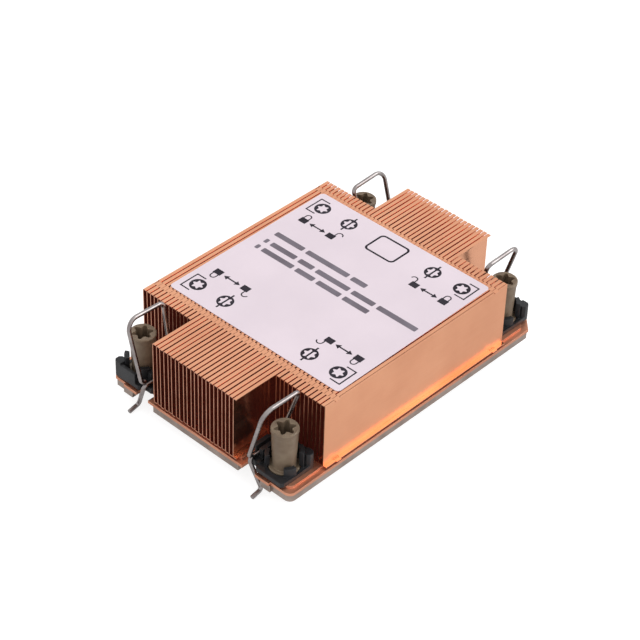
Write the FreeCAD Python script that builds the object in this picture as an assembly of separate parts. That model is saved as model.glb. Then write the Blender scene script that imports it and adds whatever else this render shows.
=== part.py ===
"""Passive copper heatsink for a server processor, in millimetres, +Z up.

A stack of folded copper fins stands on a copper base plate, which is bonded to a plated
cold plate. At each corner a plastic clip holds a captive nut and a wire bail. The origin is
the centre of the cold plate's contact face. +Y runs along the fins and +X across them.
"""
import FreeCAD, Part
import math
import os

V = FreeCAD.Vector

# Folded fins: each is a web with a flange at the top and one at the foot
fin_count = 48
long_fin_count = 22
fin_pitch = 1.62
fin_height = 23.0
fin_sheet = 0.3
fin_bend = 0.3
fin_seam_gap = 0.1
fin_end_margin = 0.2

# Interlocks: a tab on each flange lies in a slot of the next fin
lock_width = 2.0
lock_reach = 0.75
last_lock_reach = 0.3
lock_clearance = 0.08
lock_end_distance = 5.1

# Plates
plate_end_margin = 7.5
plate_side_margin = 0.12
cold_thickness = 3.0
cold_inset = 0.3
cold_edge_chamfer = 0.5
rim_thickness = 1.0
rim_width = 1.7
island_rise = 0.7
corner_bevel = 4.4
corner_radius = 2.2
notch_inner = 9.8
notch_outer = 4.6
notch_reach = 2.1
notch_bevel = 0.9
cold_notch_widening = 2.0
lobe_start = 1.0
lobe_step = 0.8

# Label, stuck on by hand a little off centre and askew
label_width = 70.0
label_length = 68.4
label_thickness = 0.15
label_corner_bevel = 0.8
label_offset_x = 0.45
label_offset_y = 0.6
label_turn = 0.5

# Captive nuts, placed beside the long fins and clear of the short fins' ends
nut_spacing_y = 98.0
nut_to_long_fins = 12.18
nut_to_short_fins = 8.5
nut_top = 20.7
nut_bottom = 0.6
nut_body_radius = 4.1
nut_flange_radius = 4.75
nut_flange_height = 1.5
nut_shank_radius = 3.3
nut_bore_radius = 2.1
nut_bore_depth = 13.5
nut_clearance = 0.3
socket_depth = 4.5
socket_tip_radius = 3.3
socket_tip_width = 0.8
socket_root_radius = 2.4
socket_root_width = 1.1
socket_lobes = 6

# Wire bails, in the plane through their pivot. Sides and turns make their many facets few.
wire_diameter = 1.4
wire_sides = 8
wire_turn_step = 30.0
pivot_offset = 7.6
pivot_height = 3.05
pivot_clearance = 0.06
bail_lean = 16.0
bail_inner_height = 22.1
bail_outer_height = 22.7
bail_outer_y = 7.4
bail_inner_y = 5.1
bail_inner_top_y = 7.2
bail_outer_corner_radius = 3.8
bail_inner_corner_radius = 1.6
free_end_gap = 0.1
free_end_length = 1.5
arm_lean = 22.0
arm_drop = 10.0
arm_shift_y = 1.3
arm_start_y = 6.9
foot_length = 4.1
foot_drop = 0.9
wire_bend_radius = 1.2

# Clips: one moulding, used four times, with its open side at negative v
clip_outer = 5.9
clip_inner = 9.7
clip_half_length = 6.9
clip_base_height = 1.6
clip_post_height = 5.8
clip_post_size = 3.0
clip_wall_height = 5.2
clip_wall_thickness = 1.1
clip_wall_length = 9.4
clip_cradle_height = 5.4
clip_cradle_width = 4.2
clip_cradle_length = 6.6
clip_step_height = 2.1
clip_step_length = 10.8
clip_corner_bevel = 0.8
finger_thickness = 1.45
finger_angle = 40.0
finger_angles_and_heights = ((48.0, 7.4), (140.0, 6.0), (-140.0, 6.0), (-28.0, 4.4))
snap_width_share = 0.8

# Levels and places that follow
stack_width = fin_count * fin_pitch
plate_width = stack_width + 2 * plate_side_margin
rim_top = cold_thickness + rim_thickness
island_top = rim_top + island_rise
fin_top = island_top + fin_height
plate_length = nut_spacing_y + 2 * plate_end_margin
long_fin_length = plate_length - 2 * fin_end_margin
short_fin_length = nut_spacing_y - 2 * nut_to_short_fins
lock_y = short_fin_length / 2 - lock_end_distance
nut_x = long_fin_count * fin_pitch / 2 + nut_to_long_fins
nut_y = nut_spacing_y / 2
wire_radius = wire_diameter / 2
pivot_z = island_top + pivot_height


def prism(face, height):
    """A flat face pulled up along Z."""
    return face.extrude(V(0, 0, height))


def block(x0, x1, y0, y1, z0, z1):
    return Part.makeBox(x1 - x0, y1 - y0, z1 - z0, V(x0, y0, z0))


def upright_edges(solid, wanted):
    """The edges along Z whose place the test picks."""
    edges = []
    for edge in solid.Edges:
        low, high = edge.Vertexes[0].Point, edge.Vertexes[-1].Point
        upright = abs(low.x - high.x) < 1e-6 and abs(low.y - high.y) < 1e-6 and abs(low.z - high.z) > 1e-6
        if upright and wanted(low):
            edges.append(edge)
    return edges


def round_upright_edges(solid, radius, wanted):
    return solid.makeFillet(radius, upright_edges(solid, wanted))


def bevel_upright_edges(solid, size, wanted):
    return solid.makeChamfer(size, upright_edges(solid, wanted))


def export(name, shape):
    shape.exportStep("parts/" + name + ".step")


# Fins


def fin_profile(has_top_flange):
    """Section of a fin in the XZ plane: a web at x = 0 with its flanges towards +X."""
    tip = fin_pitch - fin_seam_gap
    outline = [(tip, 0), (fin_bend, 0), (0, fin_bend)]
    if has_top_flange:
        outline += [(0, fin_height - fin_bend), (fin_bend, fin_height), (tip, fin_height),
                    (tip, fin_height - fin_sheet), (fin_sheet, fin_height - fin_sheet)]
    else:
        outline += [(0, fin_height), (fin_sheet, fin_height)]
    outline += [(fin_sheet, fin_sheet), (tip, fin_sheet)]
    points = [V(x, 0, z) for x, z in outline]
    return Part.Face(Part.makePolygon(points + points[:1]))


def slotted(body, low, y):
    """The fin with a slot in its bend, from height low up, for the tab of the fin before it."""
    reach = lock_reach + lock_clearance
    half = lock_width / 2 + lock_clearance
    return body.cut(block(0, reach, y - half, y + half, low, low + fin_sheet + lock_clearance))


def tabbed(body, low, y, reach):
    """The fin with a tab on its flange that reaches past the web of the next fin."""
    start = fin_pitch - fin_seam_gap - fin_sheet
    half = lock_width / 2
    return body.fuse(block(start, fin_pitch + reach, y - half, y + half, low, low + fin_sheet))


def fin(index, length):
    """One folded fin with its interlocks, web at x = 0, foot at z = 0.

    The last fin has no top flange. Foot interlocks are made where they can be seen: in the first
    fin's web, and between and beside the last two.
    """
    is_last = index == fin_count - 1
    body = fin_profile(not is_last).extrude(V(0, length, 0))
    body.translate(V(0, -length / 2, 0))
    for y in (-lock_y, lock_y):
        body = slotted(body, fin_height - fin_sheet - lock_clearance, y)
        if not is_last:
            body = tabbed(body, fin_height - fin_sheet, y, lock_reach)
        if is_last or index == 0:
            body = slotted(body, 0, y)
        if index >= fin_count - 2:
            body = tabbed(body, 0, y, last_lock_reach if is_last else lock_reach)
    return body.removeSplitter()


def fins():
    """All fins of the stack, by name: short ones at both sides and long ones between."""
    first_long = (fin_count - long_fin_count) // 2
    made = {}
    for index in range(fin_count):
        is_long = first_long <= index < first_long + long_fin_count
        solid = fin(index, long_fin_length if is_long else short_fin_length)
        solid.translate(V(-stack_width / 2 + index * fin_pitch, 0, island_top))
        kind = "long_fin" if is_long else "short_fin"
        made["%s_%02d" % (kind, index + 1)] = solid
    return made


# Plates


def bevel_wedge(corner, x_size, y_size, height):
    """A triangular prism at a corner, with legs of the given signed sizes."""
    outline = Part.makePolygon([corner, corner + V(x_size, 0, 0), corner + V(0, y_size, 0), corner])
    return prism(Part.Face(outline), height)


def plate_blank(inset, widening, z0, z1):
    """A plate with its notches for the wires, two bevelled corners and two rounded ones."""
    half_x = plate_width / 2 - inset
    half_y = plate_length / 2 - inset
    height = z1 - z0
    blank = block(-half_x, half_x, -half_y, half_y, z0, z1)
    for side in (-1, 1):
        corner = V(-side * half_x, -side * half_y, z0)
        blank = blank.cut(bevel_wedge(corner, side * corner_bevel, side * corner_bevel, height))
    notch_low_x = nut_x - notch_inner - widening
    notch_high_x = nut_x - notch_outer + widening
    notch_end = nut_y + notch_reach - inset
    for side in (-1, 1):
        for end in (-1, 1):
            x0, x1 = sorted((side * (nut_x + lobe_start + inset), side * half_x))
            y0, y1 = sorted((end * (half_y - lobe_step), end * half_y))
            blank = blank.cut(block(x0, x1, y0, y1, z0, z1))
            x0, x1 = sorted((side * notch_low_x, side * notch_high_x))
            y0, y1 = sorted((end * notch_end, end * (half_y + 1)))
            notch = block(x0, x1, y0, y1, z0, z1)
            for x, inward in ((x0, notch_bevel), (x1, -notch_bevel)):
                notch = notch.cut(bevel_wedge(V(x, end * notch_end, z0), inward, end * notch_bevel, height))
            blank = blank.cut(notch)
    tip_y = half_y - lobe_step
    return round_upright_edges(
        blank, corner_radius,
        lambda p: abs(abs(p.x) - half_x) < 1e-6 and abs(abs(p.y) - tip_y) < 1e-6 and p.x * p.y < 0)


def nut_holes(z0, z1):
    """The round holes through a plate at the four corners."""
    radius = nut_shank_radius + nut_clearance
    centres = [V(sx * nut_x, sy * nut_y, z0) for sx in (-1, 1) for sy in (-1, 1)]
    return [Part.makeCylinder(radius, z1 - z0, centre) for centre in centres]


def cold_plate():
    """The lower plate, whose underside is the contact face."""
    plate = plate_blank(cold_inset, cold_notch_widening, 0, cold_thickness)
    foot_edges = [edge for edge in plate.Edges if edge.BoundBox.ZMax < 1e-6]
    plate = plate.makeChamfer(cold_edge_chamfer, foot_edges)
    return plate.cut(Part.makeCompound(nut_holes(0, cold_thickness)))


def base_plate():
    """The copper plate: a thin bonded rim and a raised middle that carries the fins and clips."""
    rim = plate_blank(0, 0, cold_thickness, rim_top)
    island = plate_blank(rim_width, rim_width, rim_top, island_top)
    plate = rim.fuse(island).removeSplitter()
    return plate.cut(Part.makeCompound(nut_holes(cold_thickness, island_top)))


def label():
    """A thin rectangular label on the flanges of the fins."""
    half_x, half_y = label_width / 2, label_length / 2
    sheet = block(-half_x, half_x, -half_y, half_y, fin_top, fin_top + label_thickness)
    sheet = bevel_upright_edges(sheet, label_corner_bevel, lambda p: True)
    sheet.rotate(V(0, 0, 0), V(0, 0, 1), label_turn)
    sheet.translate(V(label_offset_x, label_offset_y, 0))
    return sheet


# Corner hardware, modelled at the front right corner: u points outwards from the nut's axis
# along X, v is measured from it along Y, and the outer end is at negative v


def at_corner(u, v, z):
    return V(nut_x + u, -nut_y + v, z)


def corner_block(u0, u1, v0, v1, z0, z1):
    low = at_corner(u0, v0, z0)
    return Part.makeBox(u1 - u0, v1 - v0, z1 - z0, low)


def corner_cylinder(radius, z0, z1):
    return Part.makeCylinder(radius, z1 - z0, at_corner(0, 0, z0))


def socket_outline(z):
    """The six-lobed opening for the driver, with two points at each tip and two at each root."""
    points = []
    for half_lobe in range(2 * socket_lobes):
        at_tip = half_lobe % 2 == 0
        radius = socket_tip_radius if at_tip else socket_root_radius
        half_width = (socket_tip_width if at_tip else socket_root_width) / 2
        middle = math.pi * half_lobe / socket_lobes
        for offset in (-half_width, half_width):
            angle = middle + math.asin(offset / radius)
            points.append(at_corner(radius * math.cos(angle), radius * math.sin(angle), z))
    return Part.Face(Part.makePolygon(points + points[:1]))


def captive_nut():
    """A long nut: shank, flange and body, with a driver socket above and a blind bore below."""
    flange_low = island_top + nut_clearance
    flange_high = flange_low + nut_flange_height
    outline = [
        V(0, 0, nut_bottom),
        V(nut_shank_radius, 0, nut_bottom),
        V(nut_shank_radius, 0, flange_low),
        V(nut_flange_radius, 0, flange_low),
        V(nut_flange_radius, 0, flange_high),
        V(nut_body_radius, 0, flange_high),
        V(nut_body_radius, 0, nut_top),
        V(0, 0, nut_top),
        V(0, 0, nut_bottom),
    ]
    turned = Part.Face(Part.makePolygon(outline)).revolve(V(0, 0, 0), V(0, 0, 1), 360)
    turned.translate(at_corner(0, 0, 0))
    socket = prism(socket_outline(nut_top - socket_depth), socket_depth)
    bore = corner_cylinder(nut_bore_radius, nut_bottom, nut_bottom + nut_bore_depth)
    return turned.cut(socket).cut(bore)


def bent_route(points, radii):
    """The points of a route whose corners are bends of the given radii, in steps of wire_turn_step."""
    route = [points[0]]
    for before, corner, after, radius in zip(points, points[1:], points[2:], radii):
        back = (before - corner).normalize()
        ahead = (after - corner).normalize()
        half_angle = back.getAngle(ahead) / 2
        turn = 180 - 2 * math.degrees(half_angle)
        centre = corner + (back + ahead).normalize() * (radius / math.sin(half_angle))
        spoke = corner + back * (radius / math.tan(half_angle)) - centre
        axis = ahead.cross(back)
        steps = math.ceil(turn / wire_turn_step)
        for step in range(steps + 1):
            route.append(centre + FreeCAD.Rotation(axis, turn * step / steps).multVec(spoke))
    route.append(points[-1])
    return route


def wire_section(centre):
    """A regular polygon across Y, with the area of the round wire."""
    sector = 2 * math.pi / wire_sides
    radius = wire_radius * math.sqrt(sector / math.sin(sector))
    points = []
    for side in range(wire_sides + 1):
        angle = sector * (side + 0.5)
        points.append(centre + V(radius * math.cos(angle), 0, radius * math.sin(angle)))
    return Part.makePolygon(points)


def wire_bail():
    """One bent wire: a free end, the bail, the pivot run in the clip, and a hooked arm below."""
    lean = math.radians(bail_lean)
    drop = math.radians(arm_lean)

    def in_bail(distance, v):
        return at_corner(-pivot_offset + distance * math.sin(lean), v, pivot_z + distance * math.cos(lean))

    free_rise = wire_diameter + free_end_gap
    foot_u = arm_drop * math.tan(drop) - pivot_offset
    foot_bend = at_corner(foot_u, arm_shift_y - arm_start_y, pivot_z - arm_drop)
    points = [
        in_bail(free_rise, free_end_length - bail_outer_y),
        in_bail(free_rise, -bail_outer_y),
        in_bail(bail_outer_height, -bail_outer_y),
        in_bail(bail_inner_height, bail_inner_top_y),
        in_bail(0, bail_inner_y),
        in_bail(0, -arm_start_y),
        foot_bend,
        foot_bend + V(0, -foot_length, -foot_drop),
    ]
    free_bend_radius = min(wire_bend_radius, free_end_length * 0.7)
    radii = [free_bend_radius, bail_outer_corner_radius, bail_inner_corner_radius,
             bail_inner_corner_radius, wire_bend_radius, wire_bend_radius]
    path = Part.makePolygon(bent_route(points, radii))
    mitred = 1
    return path.makePipeShell([wire_section(points[0])], True, True, mitred)


def finger(angle, height):
    """A snap finger beside the nut, whose inner face overhangs the nut's flange."""
    inner = nut_body_radius + nut_clearance
    sector = Part.makeCylinder(inner + finger_thickness, height, V(0, 0, 0), V(0, 0, 1), finger_angle)
    sector.rotate(V(0, 0, 0), V(0, 0, 1), angle - finger_angle / 2)
    sector.translate(at_corner(0, 0, island_top))
    return sector.cut(corner_cylinder(inner, island_top, island_top + height))


def clip():
    """The moulded clip: a base, a wall and post at its back, snap fingers, and a cradle for the wire."""
    low = island_top
    pocket_radius = nut_flange_radius + nut_clearance
    pocket_top = low + 2 * nut_clearance + nut_flange_height
    cradle_outer = clip_cradle_width / 2 - pivot_offset
    base = corner_block(cradle_outer, clip_outer, -clip_half_length, clip_half_length,
                        low, low + clip_base_height)
    base = bevel_upright_edges(base, clip_corner_bevel, lambda p: True)
    wall = corner_block(clip_outer - clip_wall_length, clip_outer - clip_corner_bevel,
                        clip_half_length - clip_wall_thickness, clip_half_length,
                        low, low + clip_wall_height)
    post = corner_block(clip_outer - clip_post_size, clip_outer, clip_half_length - clip_post_size,
                        clip_half_length, low, low + clip_post_height)
    outer_x = at_corner(clip_outer, 0, 0).x
    post = bevel_upright_edges(post, clip_corner_bevel, lambda p: p.x > outer_x - 1e-6)
    cradle = corner_block(-clip_inner, cradle_outer, -clip_cradle_length / 2, clip_cradle_length / 2,
                          low, low + clip_cradle_height)
    step = corner_block(-clip_inner, cradle_outer + clip_corner_bevel, -clip_step_length / 2,
                        clip_step_length / 2, low, low + clip_step_height)
    inner_x = at_corner(-clip_inner, 0, 0).x
    cradle = bevel_upright_edges(cradle, clip_corner_bevel, lambda p: p.x < inner_x + 1e-6)
    step = bevel_upright_edges(step, clip_corner_bevel, lambda p: p.x < inner_x + 1e-6)
    body = base.fuse([wall, post, cradle, step])
    body = body.cut(corner_cylinder(nut_body_radius + nut_clearance, low, low + clip_post_height))
    body = body.fuse([finger(angle, height) for angle, height in finger_angles_and_heights])
    body = body.cut(corner_cylinder(pocket_radius, low, pocket_top))
    seat_radius = wire_radius + pivot_clearance
    seat_start = at_corner(-pivot_offset, -clip_half_length, pivot_z)
    seat = Part.makeCylinder(seat_radius, 2 * clip_half_length, seat_start, V(0, 1, 0))
    snap_half = seat_radius * snap_width_share
    snap = corner_block(-pivot_offset - snap_half, -pivot_offset + snap_half,
                        -clip_half_length, clip_half_length,
                        pivot_z, low + clip_cradle_height)
    return body.cut(seat.fuse(snap)).removeSplitter()


def clips():
    """The four clips: two at the right, the same way round, and two at the left, half a turn round."""
    right_front = clip()
    right_back = right_front.translated(V(0, nut_spacing_y, 0))
    left = [shape.rotated(V(0, 0, 0), V(0, 0, 1), 180) for shape in (right_front, right_back)]
    return Part.makeCompound([right_front, right_back] + left)


CORNERS = {
    "front_right": (1, 1),
    "front_left": (-1, 1),
    "back_right": (1, -1),
    "back_left": (-1, -1),
}


def mirrored(shape, x_sign, y_sign):
    """A copy of front right hardware at another corner."""
    copy = shape.copy()
    if x_sign < 0:
        copy = copy.mirror(V(0, 0, 0), V(1, 0, 0))
    if y_sign < 0:
        copy = copy.mirror(V(0, 0, 0), V(0, 1, 0))
    return copy


os.makedirs("parts", exist_ok=True)
export("cold_plate", cold_plate())
export("base_plate", base_plate())
export("label", label())
for name, solid in fins().items():
    export(name, solid)
nut_shape = captive_nut()
wire_shape = wire_bail()
for corner, signs in CORNERS.items():
    export("captive_nut_" + corner, mirrored(nut_shape, *signs))
    export("wire_bail_" + corner, mirrored(wire_shape, *signs))
export("wire_clips", clips())
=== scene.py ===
"""A low copper heatsink for a server processor, with its print, wire bails, nuts and clips."""
import math
import random
import bmesh
import bpy
from mathutils import Matrix, Vector


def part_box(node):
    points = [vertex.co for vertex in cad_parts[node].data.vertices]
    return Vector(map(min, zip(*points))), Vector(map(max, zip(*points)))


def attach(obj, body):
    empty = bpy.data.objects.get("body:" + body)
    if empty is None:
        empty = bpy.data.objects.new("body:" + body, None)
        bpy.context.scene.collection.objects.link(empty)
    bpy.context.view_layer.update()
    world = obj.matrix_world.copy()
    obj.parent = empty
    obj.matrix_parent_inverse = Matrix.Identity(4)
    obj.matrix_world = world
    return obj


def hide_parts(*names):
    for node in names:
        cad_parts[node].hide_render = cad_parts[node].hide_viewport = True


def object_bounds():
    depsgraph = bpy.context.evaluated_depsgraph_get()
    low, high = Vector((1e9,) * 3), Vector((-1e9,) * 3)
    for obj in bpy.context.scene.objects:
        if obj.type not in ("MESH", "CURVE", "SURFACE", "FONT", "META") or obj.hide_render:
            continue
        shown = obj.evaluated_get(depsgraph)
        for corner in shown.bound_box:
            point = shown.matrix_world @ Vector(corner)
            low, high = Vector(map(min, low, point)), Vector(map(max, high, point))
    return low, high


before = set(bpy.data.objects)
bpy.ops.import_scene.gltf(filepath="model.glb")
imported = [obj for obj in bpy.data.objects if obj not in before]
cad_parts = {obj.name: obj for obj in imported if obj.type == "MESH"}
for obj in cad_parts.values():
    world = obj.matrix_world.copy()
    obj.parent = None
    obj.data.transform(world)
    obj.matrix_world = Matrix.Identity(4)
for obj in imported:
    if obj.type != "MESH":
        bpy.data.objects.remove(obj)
cad_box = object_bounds()
mm = 0.001

# Camera: a long lens above the front right corner, turned by a slight roll, which sees the heatsink
# from the photograph's angle. The bounces let light reach the bottom of the gaps between the fins.
aim = Vector((9.29, -13.10, 27.7)) * mm
azimuth, elevation, roll = (math.radians(a) for a in (42.43, 39.051, 1.988))
distance = 639.7 * mm
back = Vector((math.sin(azimuth) * math.cos(elevation), -math.cos(azimuth) * math.cos(elevation),
               math.sin(elevation)))
camera_data = bpy.data.cameras.new("camera")
camera_data.lens = 120.4
camera_data.sensor_width = 36.0
camera_data.clip_start = 0.01
camera = bpy.data.objects.new("camera", camera_data)
bpy.context.scene.collection.objects.link(camera)
camera.rotation_mode = "QUATERNION"
camera.rotation_quaternion = (-back).to_track_quat("-Z", "Y") @ Matrix.Rotation(roll, 3, "Z").to_quaternion()
camera.location = aim + back * distance
bpy.context.scene.camera = camera
bpy.context.scene.view_settings.view_transform = "Standard"
bpy.context.scene.cycles.glossy_bounces = 14
bpy.context.scene.cycles.max_bounces = 16


# Table: a white sheet under the cold plate. It glows faintly, so that it stays pale without hard
# shadows, and glows less for the copper than for the camera, so that the fins don't mirror too much white.
def emptied_tree(material_or_world):
    material_or_world.use_nodes = True
    tree = material_or_world.node_tree
    tree.nodes.clear()
    return tree


def add_node(tree, kind, **inputs):
    """A new node whose inputs are set by name, with underscores for spaces."""
    node = tree.nodes.new(kind)
    for name, value in inputs.items():
        node.inputs[name.replace("_", " ")].default_value = value
    return node


def link(tree, source, target):
    tree.links.new(source, target)


glow_for_copper, glow_for_camera = 0.45, 0.80
table_half = 3.0
floor_material = bpy.data.materials.new("white_table")
tree = emptied_tree(floor_material)
floor_shader = add_node(tree, "ShaderNodeBsdfDiffuse", Color=(0.40, 0.40, 0.40, 1))
floor_glow = add_node(tree, "ShaderNodeEmission", Color=(1, 1, 1, 1))
floor_path = tree.nodes.new("ShaderNodeLightPath")
floor_strength = add_node(tree, "ShaderNodeMapRange", To_Min=glow_for_copper, To_Max=glow_for_camera)
floor_sum = tree.nodes.new("ShaderNodeAddShader")
floor_out = tree.nodes.new("ShaderNodeOutputMaterial")
link(tree, floor_path.outputs["Is Camera Ray"], floor_strength.inputs["Value"])
link(tree, floor_strength.outputs["Result"], floor_glow.inputs["Strength"])
link(tree, floor_shader.outputs[0], floor_sum.inputs[0])
link(tree, floor_glow.outputs[0], floor_sum.inputs[1])
link(tree, floor_sum.outputs[0], floor_out.inputs["Surface"])

floor_shape = bmesh.new()
bmesh.ops.create_grid(floor_shape, x_segments=1, y_segments=1, size=table_half)
bmesh.ops.translate(floor_shape, verts=floor_shape.verts, vec=(0, 0, cad_box[0].z))
floor_data = bpy.data.meshes.new("floor")
floor_shape.to_mesh(floor_data)
floor_shape.free()
floor = bpy.data.objects.new("floor", floor_data)
floor_data.materials.append(floor_material)
bpy.context.scene.collection.objects.link(floor)

# Light: a pale room, and a soft lamp behind the heatsink on the right. The room is brighter round the
# lamp, which draws the bright line at the foot of the stack's right face.
softbox_way = Vector((0.52, 0.57, 0.63)).normalized()
softbox_distance = 0.9
room_strength, lamp_side_strength = 1.04, 3.8
lamp_side_starts = 0.88
world = bpy.data.worlds.new("room")
bpy.context.scene.world = world
tree = emptied_tree(world)
room_light = add_node(tree, "ShaderNodeBackground", Color=(1.0, 1.0, 1.01, 1))
room_out = tree.nodes.new("ShaderNodeOutputWorld")
room_place = tree.nodes.new("ShaderNodeTexCoord")
nearness = tree.nodes.new("ShaderNodeVectorMath")
nearness.operation = "DOT_PRODUCT"
nearness.inputs[1].default_value = softbox_way
brightness = add_node(tree, "ShaderNodeMapRange", From_Min=lamp_side_starts, From_Max=1.0,
                      To_Min=room_strength, To_Max=lamp_side_strength)
brightness.interpolation_type = "SMOOTHSTEP"
link(tree, room_place.outputs["Generated"], nearness.inputs[0])
link(tree, nearness.outputs["Value"], brightness.inputs["Value"])
link(tree, brightness.outputs["Result"], room_light.inputs["Strength"])
link(tree, room_light.outputs[0], room_out.inputs["Surface"])

softbox_data = bpy.data.lights.new("back_right_softbox", "AREA")
softbox_data.shape = "SQUARE"
softbox_data.size = 0.55
softbox_data.energy = 0.6
softbox = bpy.data.objects.new("back_right_softbox", softbox_data)
softbox.location = softbox_way * softbox_distance
softbox.rotation_mode = "QUATERNION"
softbox.rotation_quaternion = softbox_way.to_track_quat("Z", "Y")
bpy.context.scene.collection.objects.link(softbox)


# Folded fins: 0.3 mm copper strip, bent over at the top and the foot, each locked into the next by tabs.
# The bends are round, the seams of uneven width, the tabs pressed in and a little short. Sheared ends are
# duller, the long ones end a little unevenly, and handling has dulled the stack's two outer faces.
def shader_group(name, inputs, outputs):
    """An empty node group with the given sockets, and its input and output nodes."""
    group = bpy.data.node_groups.new(name, "ShaderNodeTree")
    for label, kind, value in inputs:
        group.interface.new_socket(name=label, in_out="INPUT", socket_type=kind).default_value = value
    for label, kind in outputs:
        group.interface.new_socket(name=label, in_out="OUTPUT", socket_type=kind)
    return group, group.nodes.new("NodeGroupInput"), group.nodes.new("NodeGroupOutput")


# Grain of a surface: fine streaks and wide soft clouds
grain_group, grain_in, grain_out = shader_group(
    "streaks_and_clouds",
    [("Streak Scale", "NodeSocketVector", (4000.0, 60.0, 4000.0)), ("Cloud Scale", "NodeSocketFloat", 60.0)],
    [("Streaks", "NodeSocketFloat"), ("Clouds", "NodeSocketFloat")])
place = grain_group.nodes.new("ShaderNodeTexCoord")
stretch = grain_group.nodes.new("ShaderNodeVectorMath")
stretch.operation = "MULTIPLY"
streaks = add_node(grain_group, "ShaderNodeTexNoise", Scale=1.0, Detail=3.0)
clouds = add_node(grain_group, "ShaderNodeTexNoise", Detail=4.0)
link(grain_group, place.outputs["Object"], stretch.inputs[0])
link(grain_group, grain_in.outputs["Streak Scale"], stretch.inputs[1])
link(grain_group, stretch.outputs[0], streaks.inputs["Vector"])
link(grain_group, place.outputs["Object"], clouds.inputs["Vector"])
link(grain_group, grain_in.outputs["Cloud Scale"], clouds.inputs["Scale"])
link(grain_group, streaks.outputs["Fac"], grain_out.inputs["Streaks"])
link(grain_group, clouds.outputs["Fac"], grain_out.inputs["Clouds"])

# Wear and painted highlight of an edge: a mask of the places where the softened normal leaves the true one
edge_wear_and_highlight_group, edge_wear_and_highlight_in, edge_wear_and_highlight_out = shader_group(
    "edges_worn_and_highlit", [("Radius", "NodeSocketFloat", 0.2 * mm)], [("Edge", "NodeSocketFloat")])
soft_normal = edge_wear_and_highlight_group.nodes.new("ShaderNodeBevel")
soft_normal.samples = 4
true_normal = edge_wear_and_highlight_group.nodes.new("ShaderNodeNewGeometry")
agreement = edge_wear_and_highlight_group.nodes.new("ShaderNodeVectorMath")
agreement.operation = "DOT_PRODUCT"
edge_range = add_node(edge_wear_and_highlight_group, "ShaderNodeMapRange", From_Min=0.98, From_Max=0.80)
link(edge_wear_and_highlight_group, edge_wear_and_highlight_in.outputs["Radius"], soft_normal.inputs["Radius"])
link(edge_wear_and_highlight_group, soft_normal.outputs["Normal"], agreement.inputs[0])
link(edge_wear_and_highlight_group, true_normal.outputs["Normal"], agreement.inputs[1])
link(edge_wear_and_highlight_group, agreement.outputs["Value"], edge_range.inputs["Value"])
link(edge_wear_and_highlight_group, edge_range.outputs["Result"], edge_wear_and_highlight_out.inputs["Edge"])


def material_of(name, dark, light, rough, bump, streak_scale, cloud_scale, metallic=0.0, edge=None,
                sheen=0.5, glow=(0, 0, 0)):
    """Colour follows soft clouds, gloss and relief follow fine streaks, and edges may be painted lighter, for
    wear and as a painted highlight.
    """
    material = bpy.data.materials.new(name)
    tree = emptied_tree(material)
    grain = tree.nodes.new("ShaderNodeGroup")
    grain.node_tree = grain_group
    grain.inputs["Streak Scale"].default_value = streak_scale
    grain.inputs["Cloud Scale"].default_value = cloud_scale
    colour = tree.nodes.new("ShaderNodeMix")
    colour.data_type = "RGBA"
    colour.inputs["A"].default_value = (*dark, 1)
    colour.inputs["B"].default_value = (*light, 1)
    spread = add_node(tree, "ShaderNodeMapRange", From_Min=0.35, From_Max=0.65)
    gloss = add_node(tree, "ShaderNodeMapRange", From_Min=0.3, From_Max=0.7, To_Min=rough[0], To_Max=rough[1])
    relief = add_node(tree, "ShaderNodeBump", Strength=bump, Distance=0.05 * mm)
    shader = add_node(tree, "ShaderNodeBsdfPrincipled", Metallic=metallic)
    shader.inputs["Specular IOR Level"].default_value = sheen
    shader.inputs["Emission Color"].default_value = (*glow, 1)
    shader.inputs["Emission Strength"].default_value = 1.0 if any(glow) else 0.0
    out = tree.nodes.new("ShaderNodeOutputMaterial")
    link(tree, grain.outputs["Clouds"], spread.inputs["Value"])
    link(tree, spread.outputs["Result"], colour.inputs["Factor"])
    link(tree, grain.outputs["Streaks"], gloss.inputs["Value"])
    link(tree, grain.outputs["Streaks"], relief.inputs["Height"])
    link(tree, gloss.outputs["Result"], shader.inputs["Roughness"])
    link(tree, relief.outputs["Normal"], shader.inputs["Normal"])
    link(tree, shader.outputs[0], out.inputs["Surface"])
    if edge is None:
        link(tree, colour.outputs["Result"], shader.inputs["Base Color"])
        return material
    # The edge colour is laid over the edges: wear, and a painted highlight along them.
    edge_wear_and_highlight = tree.nodes.new("ShaderNodeGroup")
    edge_wear_and_highlight.node_tree = edge_wear_and_highlight_group
    edge_wear_and_highlight_colour = tree.nodes.new("ShaderNodeMix")
    edge_wear_and_highlight_colour.data_type = "RGBA"
    edge_wear_and_highlight_colour.inputs["B"].default_value = (*edge, 1)
    link(tree, edge_wear_and_highlight.outputs["Edge"], edge_wear_and_highlight_colour.inputs["Factor"])
    link(tree, colour.outputs["Result"], edge_wear_and_highlight_colour.inputs["A"])
    link(tree, edge_wear_and_highlight_colour.outputs["Result"], shader.inputs["Base Color"])
    return material


def flat_faces_joined(shape):
    """Joins faces that lie in one plane, which leaves long runs and flats whole."""
    bmesh.ops.dissolve_limit(shape, angle_limit=math.radians(1), verts=shape.verts, edges=shape.edges)


def merged_copy(node):
    """A solid's mesh with its doubles merged and its flat faces whole again."""
    shape = bmesh.new()
    shape.from_mesh(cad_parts[node].data)
    bmesh.ops.remove_doubles(shape, verts=shape.verts, dist=1e-6)
    flat_faces_joined(shape)
    return shape


def soften(shape, width, low, high):
    """Rounds the edges whose faces turn by an angle between low and high degrees."""
    edges = [e for e in shape.edges if math.radians(low) < e.calc_face_angle(0) < math.radians(high)]
    bmesh.ops.bevel(shape, geom=edges, offset=width, offset_type="OFFSET", segments=2, profile=0.5,
                    affect="EDGES", clamp_overlap=True, material=-1)


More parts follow.
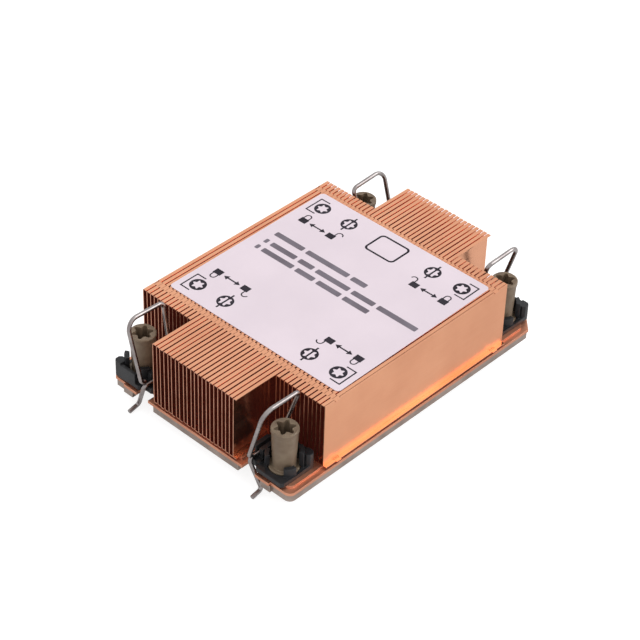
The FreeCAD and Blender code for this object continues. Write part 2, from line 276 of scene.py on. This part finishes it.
def add_piece(name, shape, body, slot, material, *nodes):
    """Puts a closed shape into the scene on a body, smooth but for its sharp edges."""
    sharp_from = math.radians(38)
    bmesh.ops.recalc_face_normals(shape, faces=shape.faces)
    for face in shape.faces:
        face.smooth = True
    for edge in shape.edges:
        edge.smooth = edge.calc_face_angle(0) < sharp_from
    data = bpy.data.meshes.new(name)
    shape.to_mesh(data)
    shape.free()
    data.materials.append(material)
    piece = bpy.data.objects.new(name, data)
    bpy.context.scene.collection.objects.link(piece)
    weighted = piece.modifiers.new("flat_faces", "WEIGHTED_NORMAL")
    weighted.keep_sharp = True
    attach(piece, body)
    if nodes:
        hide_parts(*nodes)
    return piece


# The faint glow stands for the red light left after the many bounces deep between two fins
fin_copper = material_of("fin_copper", dark=(0.69, 0.315, 0.18), light=(0.77, 0.375, 0.22),
                         rough=(0.13, 0.22), bump=0.03, streak_scale=(2500.0, 60.0, 2500.0),
                         cloud_scale=45.0, metallic=1.0, glow=(0.007, 0.0025, 0.002))
sheared_copper = material_of("sheared_copper", dark=(0.52, 0.24, 0.15), light=(0.66, 0.33, 0.215),
                             rough=(0.34, 0.48), bump=0.20, streak_scale=(3000.0, 3000.0, 400.0),
                             cloud_scale=300.0, metallic=1.0)
outer_copper = material_of("outer_copper", dark=(0.69, 0.315, 0.175), light=(0.77, 0.375, 0.215),
                           rough=(0.32, 0.42), bump=0.03, streak_scale=(2500.0, 60.0, 2500.0),
                           cloud_scale=45.0, metallic=1.0)
sheared_index, outer_index = 1, 2
outward = {"short_fin_01": -1, "short_fin_48": 1}
label_low, label_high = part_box("label")
fin_top = label_low.z
flange_reach = 1.52 * mm
tab_press = 0.16 * mm
bend_width = 0.13 * mm
# How far seams open and long ends shift, each drawn between two values in millimetres
seam_openings = (0.01, 0.11)
end_shifts = (-0.18, 0.12)


def open_seam(shape, flange_tip, gap):
    """Draws a flange's tip back from the next fin."""
    for vert in shape.verts:
        if abs(vert.co.x - flange_tip) < 0.02 * mm:
            vert.co.x -= gap


def press_tabs(shape, flange_tip, depth):
    """Sinks the locking tabs that reach past a top flange, and draws them back as much."""
    tab_root, tab_outer = flange_tip + 0.1 * mm, flange_tip + 0.2 * mm
    top_layer = fin_top - 0.4 * mm
    bmesh.ops.bisect_plane(shape, geom=shape.verts[:] + shape.edges[:] + shape.faces[:], dist=1e-7,
                           plane_co=(tab_root, 0, 0), plane_no=(1, 0, 0))
    for vert in shape.verts:
        if vert.co.x > tab_outer and vert.co.z > top_layer:
            vert.co.x -= depth
            vert.co.z -= depth


def shift_end(shape, end, shift):
    """Moves the face at one end, -1 in front or 1 at the back, outwards by the shift."""
    reach = max(end * v.co.y for v in shape.verts)
    for vert in shape.verts:
        if end * vert.co.y > reach - 0.01 * mm:
            vert.co.y += end * shift


uneven = random.Random(4)
for node in sorted(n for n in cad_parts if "fin_" in n):
    shape = merged_copy(node)
    flange_tip = min(v.co.x for v in shape.verts) + flange_reach
    open_seam(shape, flange_tip, uneven.uniform(*seam_openings) * mm)
    press_tabs(shape, flange_tip, tab_press)
    soften(shape, bend_width, 30, 60)
    if node.startswith("long"):
        for end in (-1, 1):
            shift_end(shape, end, uneven.uniform(*end_shifts) * mm)
    for face in shape.faces:
        if abs(face.normal.y) > 0.9:
            face.material_index = sheared_index
        if face.normal.x * outward.get(node, 0) > 0.9:
            face.material_index = outer_index
    folded = add_piece("folded_" + node, shape, "heatsink", "fin_copper", fin_copper, node)
    folded.data.materials.append(sheared_copper)
    folded.data.materials.append(outer_copper)

# Base plate: bare copper, a thin rim round a raised middle that carries the fins. It is machined, with
# faint marks along its length, and worn brighter along its edges, where the lighter colour also paints a
# highlight.
plate_copper = material_of("plate_copper", dark=(0.56, 0.245, 0.15), light=(0.70, 0.34, 0.215),
                           rough=(0.42, 0.56), bump=0.10, streak_scale=(1500.0, 90.0, 1500.0),
                           cloud_scale=70.0, metallic=1.0, edge=(0.88, 0.48, 0.32))
shape = merged_copy("base_plate")
soften(shape, 0.12 * mm, 50, 130)
add_piece("copper_plate", shape, "heatsink", "plate_copper", plate_copper, "base_plate")

# Cold plate: the plate below, whose underside is the contact face. It is nickel plated, a dull
# grey-brown that is painted lighter along the edges, for wear and as a painted highlight, and its lower edge
# is chamfered.
nickel = material_of("dull_nickel", dark=(0.28, 0.225, 0.195), light=(0.40, 0.325, 0.285),
                     rough=(0.30, 0.48), bump=0.2, streak_scale=(1200.0, 120.0, 3000.0),
                     cloud_scale=160.0, metallic=1.0, edge=(0.55, 0.48, 0.44))
shape = merged_copy("cold_plate")
soften(shape, 0.10 * mm, 50, 130)
add_piece("plated_plate", shape, "heatsink", "plated_metal", nickel, "cold_plate")

# Label: a thin film with rounded corners and a satin face, stuck onto the fins' tops a little off
# centre and very slightly askew. Its outlines are drawn in millimetres from the label's centre.
label_width, label_length, label_corner = 70.0, 68.4, 1.3
label_place = Matrix.Translation((0.45 * mm, 0.6 * mm, 0)) @ Matrix.Rotation(math.radians(0.5), 4, "Z")


def flat_shape(outlines, low, high):
    """A sheet between two heights, bounded by outlines in millimetres; inner ones are holes."""
    curve = bpy.data.curves.new("outlines", "CURVE")
    curve.dimensions = "2D"
    curve.fill_mode = "BOTH"
    curve.extrude = (high - low) / 2
    for outline in outlines:
        spline = curve.splines.new("POLY")
        spline.points.add(len(outline) - 1)
        for point, (x, y) in zip(spline.points, outline):
            point.co = (x * mm, y * mm, 0, 1)
        spline.use_cyclic_u = True
    carrier = bpy.data.objects.new("outlines", curve)
    shape = bmesh.new()
    shape.from_mesh(bpy.data.meshes.new_from_object(carrier))
    bpy.data.objects.remove(carrier)
    bmesh.ops.remove_doubles(shape, verts=shape.verts, dist=1e-7)
    bmesh.ops.translate(shape, verts=shape.verts, vec=(0, 0, (low + high) / 2))
    bmesh.ops.transform(shape, verts=shape.verts, matrix=label_place)
    return shape


def arc(x, y, radius, start=0, stop=360, steps=32):
    """Points along an arc, from start to stop in degrees."""
    angles = [math.radians(start + (stop - start) * i / steps) for i in range(steps + (stop - start < 360))]
    return [(x + radius * math.cos(a), y + radius * math.sin(a)) for a in angles]


def rounded_box(x, y, width, height, radius):
    """A rectangle about a centre, with quarter circles at its corners."""
    dx, dy = width / 2 - radius, height / 2 - radius
    turns = ((dx, dy, 0), (-dx, dy, 90), (-dx, -dy, 180), (dx, -dy, 270))
    return [p for cx, cy, a in turns for p in arc(x + cx, y + cy, radius, a, a + 90, 6)]


label_film = material_of("label_film", dark=(0.62, 0.535, 0.58), light=(0.66, 0.57, 0.615),
                         rough=(0.42, 0.55), bump=0.05, streak_scale=(900.0, 900.0, 900.0),
                         cloud_scale=40.0, sheen=0.3)
shape = flat_shape([rounded_box(0, 0, label_width, label_length, label_corner)], label_low.z, label_high.z)
add_piece("label_film", shape, "heatsink", "label_film", label_film, "label")


# Print: a thin layer of ink. Each quarter has a nut seen from above beside a bracket, a turned nut with
# two pins, and a closed and an open lock with a double arrow between them. Plain pale rules and an empty
# field stand for the rest.
def six_lobes(angle, sharpness):
    """How far a six-lobed outline swells at an angle, from 0 at its roots to 1 at its tips."""
    return (0.5 + 0.5 * math.cos(6 * angle)) ** sharpness


def lobed(x, y, root, tip, steps=72):
    """A closed six-lobed outline."""
    points = []
    for i in range(steps):
        angle = 2 * math.pi * i / steps
        radius = root + (tip - root) * six_lobes(angle, 1.6)
        points.append((x + radius * math.cos(angle), y + radius * math.sin(angle)))
    return points


def lobed_half(x, y, root, tip, side, inset):
    """The half of a six-lobed outline on one side, cut straight beside a bar."""
    points = []
    for i in range(37):
        angle = math.radians(5 * i - 90)
        radius = root + (tip - root) * six_lobes(angle, 1.6)
        points.append((x + side * max(radius * math.cos(angle), inset), y + radius * math.sin(angle)))
    return points


def pin(x, y, width, inner, outer):
    """An upright bar that runs from one distance above a centre to another, or below it."""
    return [(x - width / 2, y + inner), (x + width / 2, y + inner), (x + width / 2, y + outer),
            (x - width / 2, y + outer)]


def open_bracket(left, right, y, rise, stroke):
    """A square bracket that opens to the right."""
    upper = [(right, rise), (left, rise)]
    lower = [(left, -rise), (right, -rise), (right, stroke - rise), (left + stroke, stroke - rise)]
    inner = [(left + stroke, rise - stroke), (right, rise - stroke)]
    return [(x, y + height) for x, height in upper + lower + inner]


def shackle(x, y, width, stroke, rise, drop):
    """A hoop over x, whose right leg ends higher than its left by the drop."""
    outer, inner = width / 2, width / 2 - stroke
    top = y + rise - outer
    return ([(x - outer, y)] + arc(x, top, outer, 180, 0, 12) + [(x + outer, y + drop), (x + inner, y + drop)]
            + arc(x, top, inner, 0, 180, 12) + [(x - inner, y)])


def double_arrow(x, y, length, head, breadth, shaft):
    """An arrow with a head at either end, about a centre."""
    tip, neck = length / 2, length / 2 - head
    half = [(-tip, 0), (-neck, breadth / 2), (-neck, shaft / 2), (neck, shaft / 2), (neck, breadth / 2)]
    return [(x + way * dx, y + way * dy) for way in (1, -1) for dx, dy in half]


print_base = label_high.z
print_top = print_base + 0.015 * mm
nut_mark, turned_mark = (-29.1, 27.75), (-17.5, 27.6)
mark_radius = 2.75
closed_lock, open_lock = (-29.1, 18.9), (-17.5, 18.9)
shackle_foot = 20.1
quarter = [
    open_bracket(-33.1, -29.2, nut_mark[1], rise=3.9, stroke=0.48),
    arc(*nut_mark, mark_radius),
    lobed(*nut_mark, root=1.3, tip=2.0),
    arc(*turned_mark, mark_radius),
    lobed_half(*turned_mark, root=1.45, tip=2.15, side=-1, inset=0.3),
    lobed_half(*turned_mark, root=1.45, tip=2.15, side=1, inset=0.3),
    pin(*turned_mark, width=0.6, inner=2.76, outer=3.9),
    pin(*turned_mark, width=0.6, inner=-2.76, outer=-3.9),
    rounded_box(*closed_lock, width=3.0, height=2.4, radius=0.15),
    rounded_box(*open_lock, width=3.0, height=2.4, radius=0.15),
    shackle(closed_lock[0], shackle_foot, width=2.4, stroke=0.42, rise=2.3, drop=0.0),
    shackle(open_lock[0] + 1.9, shackle_foot, width=2.6, stroke=0.42, rise=2.3, drop=1.1),
    double_arrow(-23.25, 19.0, length=6.7, head=1.7, breadth=2.1, shaft=0.56),
]
ink = material_of("dark_ink", dark=(0.020, 0.016, 0.022), light=(0.030, 0.026, 0.034), rough=(0.55, 0.70),
                  bump=0.05, streak_scale=(1500.0, 1500.0, 1500.0), cloud_scale=120.0, sheen=0.1)
marks = [[(sx * x, sy * y) for x, y in outline] for sx in (-1, 1) for sy in (-1, 1) for outline in quarter]
empty_field = (-0.4, 26.6)
marks += [rounded_box(*empty_field, 12.0, 9.6, 1.6), rounded_box(*empty_field, 10.6, 8.2, 1.1)]
add_piece("label_marks", flat_shape(marks, print_base, print_top), "heatsink", "label_film", ink)

pale_ink = material_of("pale_ink", dark=(0.13, 0.11, 0.13), light=(0.17, 0.15, 0.175), rough=(0.55, 0.70),
                       bump=0.05, streak_scale=(1500.0, 1500.0, 1500.0), cloud_scale=120.0, sheen=0.1)
rules_left, rule_height, rule_space = -30.5, 2.1, 1.4
rule_lines = (
    (7.8, (12.0, 17.5, 6.0)),
    (2.9, (1.4, 10.5, 6.0, 13.5, 9.0, 15.6)),
    (-1.1, (1.4, 13.0, 7.5, 9.5, 10.0)),
)
rules = []
for line_y, widths in rule_lines:
    start = rules_left
    for width in widths:
        rules.append(rounded_box(start + width / 2, line_y, width, rule_height, 0.4))
        start += width + rule_space
add_piece("label_rules", flat_shape(rules, print_base, print_top), "heatsink", "label_film", pale_ink)

# Captive nuts: long mouldings of tan plastic, one at each corner, held by the clips. Each has a rimmed
# head with a six-lobed socket, a flange below, and a threaded bore that takes a stud of the frame.
corners = {"front_right": (1, -1), "front_left": (-1, -1), "back_right": (1, 1), "back_left": (-1, 1)}
nut_across, nut_along = 30.0, 49.0
nut_top, nut_bottom, flange_low = 20.7, 0.6, 5.0
head, shank, flange, stem, bore = 4.2, 3.55, 4.75, 3.3, 2.1
thread_root, thread_pitch, thread_turns = 1.82, 0.8, 16
# Each ring is a radius, a height and the swell of six lobes, from the socket's floor over the head,
# down the outside and up the bore
socket_rings = [(0.4, nut_top - 5.4, 0), (2.0, nut_top - 4.5, 1.15), (2.1, nut_top - 0.35, 1.2),
                (2.25, nut_top - 0.05, 1.25)]
head_rings = [(head - 0.25, nut_top, 0), (head, nut_top - 0.25, 0), (head, nut_top - 1.3, 0),
              (head - 0.1, nut_top - 1.45, 0), (head - 0.22, nut_top - 1.6, 0)]
flange_rings = [(shank, flange_low + 1.9, 0), (shank + 0.15, flange_low + 1.6, 0),
                (flange - 0.15, flange_low + 1.5, 0), (flange, flange_low + 1.35, 0),
                (flange, flange_low + 0.15, 0), (flange - 0.15, flange_low, 0)]
stem_rings = [(stem, flange_low - 0.05, 0), (stem, nut_bottom + 0.3, 0), (stem - 0.3, nut_bottom, 0),
              (bore + 0.3, nut_bottom + 0.05, 0)]
thread_rings = [ring for turn in range(thread_turns)
                for ring in ((bore, nut_bottom + 0.35 + thread_pitch * turn, 0),
                             (thread_root, nut_bottom + 0.75 + thread_pitch * turn, 0))]
bore_end_rings = [(bore, nut_bottom + 13.1, 0), (0.3, nut_bottom + 13.5, 0)]
nut_rings = socket_rings + head_rings + flange_rings + stem_rings + thread_rings + bore_end_rings


def ring_of(shape, radius, height, swell, steps=72):
    """A loop of points about the Z axis, pushed out into six lobes by the swell."""
    made = bmesh.ops.create_circle(shape, segments=steps, radius=1.0)["verts"]
    for vert in made:
        around = math.atan2(vert.co.y, vert.co.x)
        reach = radius + swell * six_lobes(around, 1.2)
        vert.co = Vector((reach * math.cos(around), reach * math.sin(around), height)) * mm
    return {edge for vert in made for edge in vert.link_edges}


# The edges are painted lighter than the body: a painted highlight along the rims.
nut_plastic = material_of("tan_plastic", dark=(0.145, 0.100, 0.066), light=(0.195, 0.145, 0.098),
                          rough=(0.36, 0.50), bump=0.2, streak_scale=(1400.0, 1400.0, 1400.0),
                          cloud_scale=260.0, edge=(0.36, 0.29, 0.19), sheen=0.25)
for corner, (side, end) in corners.items():
    shape = bmesh.new()
    loops = [ring_of(shape, *ring) for ring in nut_rings]
    for first, second in zip(loops, loops[1:]):
        bmesh.ops.bridge_loops(shape, edges=list(first | second))
    for loop in (loops[0], loops[-1]):
        bmesh.ops.contextual_create(shape, geom=list(loop))
    bmesh.ops.translate(shape, verts=shape.verts, vec=Vector((side * nut_across, end * nut_along, 0)) * mm)
    add_piece("long_nut_" + corner, shape, "nut_" + corner, "nut_plastic", nut_plastic,
              "captive_nut_" + corner)

# Wire bails: one bright spring wire at each corner, which swings about its pivot run in the clip's
# cradle. It is bent round at each corner of its route, with a free end and a hooked arm.
wire_thickness = 1.4 * mm
bail_lean, arm_lean = math.radians(16), math.radians(22)
pivot_across, pivot_height = -7.6, 7.75
# Each corner is a rise in the bail's leaning plane and a distance inwards along the plate
bail_corners = ((1.5, -5.9), (1.5, -7.4), (22.7, -7.4), (22.1, 7.2), (0, 5.1), (0, -6.9))
arm_drop, foot_along = 10.0, -5.6
hook_out, hook_drop = 4.1, 0.9
bend_radii = (1.05, 3.8, 1.6, 1.6, 1.2, 1.2)


def near_nut(side, end, across, along, height):
    """A point placed from a nut's axis: outwards across the plate, inwards along it, and up."""
    return Vector((side * (nut_across + across), end * (nut_along - along), height)) * mm


def bent_wire(points, radii, thickness):
    """A round wire along straight runs joined by arcs, with its cut ends broken a little."""
    curve = bpy.data.curves.new("route", "CURVE")
    curve.dimensions = "3D"
    curve.bevel_depth = thickness / 2
    curve.bevel_resolution = 5
    curve.resolution_u = 8
    curve.use_fill_caps = True
    beside = 0.2 * mm
    knots = [(points[0], points[0], points[0])]
    for before, corner, after, radius in zip(points, points[1:], points[2:], radii):
        behind = (before - corner).normalized()
        ahead = (after - corner).normalized()
        half = behind.angle(ahead) / 2
        pull = radius * 4 / 3 * math.tan((math.pi / 2 - half) / 2)
        start = corner + behind * (radius / math.tan(half))
        stop = corner + ahead * (radius / math.tan(half))
        knots.append((start + behind * beside, start, start - behind * pull))
        knots.append((stop - ahead * pull, stop, stop + ahead * beside))
    knots.append((points[-1], points[-1], points[-1]))
    spline = curve.splines.new("BEZIER")
    spline.bezier_points.add(len(knots) - 1)
    for knot, (left, middle, right) in zip(spline.bezier_points, knots):
        knot.handle_left_type = knot.handle_right_type = "FREE"
        knot.handle_left, knot.co, knot.handle_right = left, middle, right
    carrier = bpy.data.objects.new("route", curve)
    shape = bmesh.new()
    shape.from_mesh(bpy.data.meshes.new_from_object(carrier))
    bpy.data.objects.remove(carrier)
    bmesh.ops.remove_doubles(shape, verts=shape.verts, dist=1e-6)
    flat_faces_joined(shape)
    soften(shape, 0.12 * mm, 60, 120)
    return shape


spring_steel = material_of("spring_steel", dark=(0.25, 0.22, 0.215), light=(0.36, 0.33, 0.32),
                           rough=(0.22, 0.34), bump=0.1, streak_scale=(900.0, 900.0, 900.0),
                           cloud_scale=300.0, metallic=1.0)
for corner, (side, end) in corners.items():
    points = [near_nut(side, end, pivot_across + rise * math.sin(bail_lean), along,
                       pivot_height + rise * math.cos(bail_lean)) for rise, along in bail_corners]
    foot = near_nut(side, end, pivot_across + arm_drop * math.tan(arm_lean), foot_along,
                    pivot_height - arm_drop)
    hook = foot + Vector((0, end * hook_out, -hook_drop)) * mm
    shape = bent_wire(points + [foot, hook], [radius * mm for radius in bend_radii], wire_thickness)
    add_piece("spring_bail_" + corner, shape, "bail_" + corner, "spring_wire", spring_steel,
              "wire_bail_" + corner)

# Clips: four glossy black mouldings that sit on the base plate round the nuts. Each has a cradle for
# its wire, a wall, a post and snap fingers over the nut's flange. Their edges are slightly rounded, and
# painted a little lighter, for wear and as a painted highlight.
black_plastic = material_of("black_plastic", dark=(0.014, 0.014, 0.015), light=(0.022, 0.022, 0.024),
                            rough=(0.28, 0.42), bump=0.25, streak_scale=(1600.0, 1600.0, 1600.0),
                            cloud_scale=200.0, edge=(0.034, 0.034, 0.037), sheen=0.25)
shape = merged_copy("wire_clips")
soften(shape, 0.22 * mm, 40, 140)
add_piece("corner_clips", shape, "heatsink", "clip_plastic", black_plastic, "wire_clips")
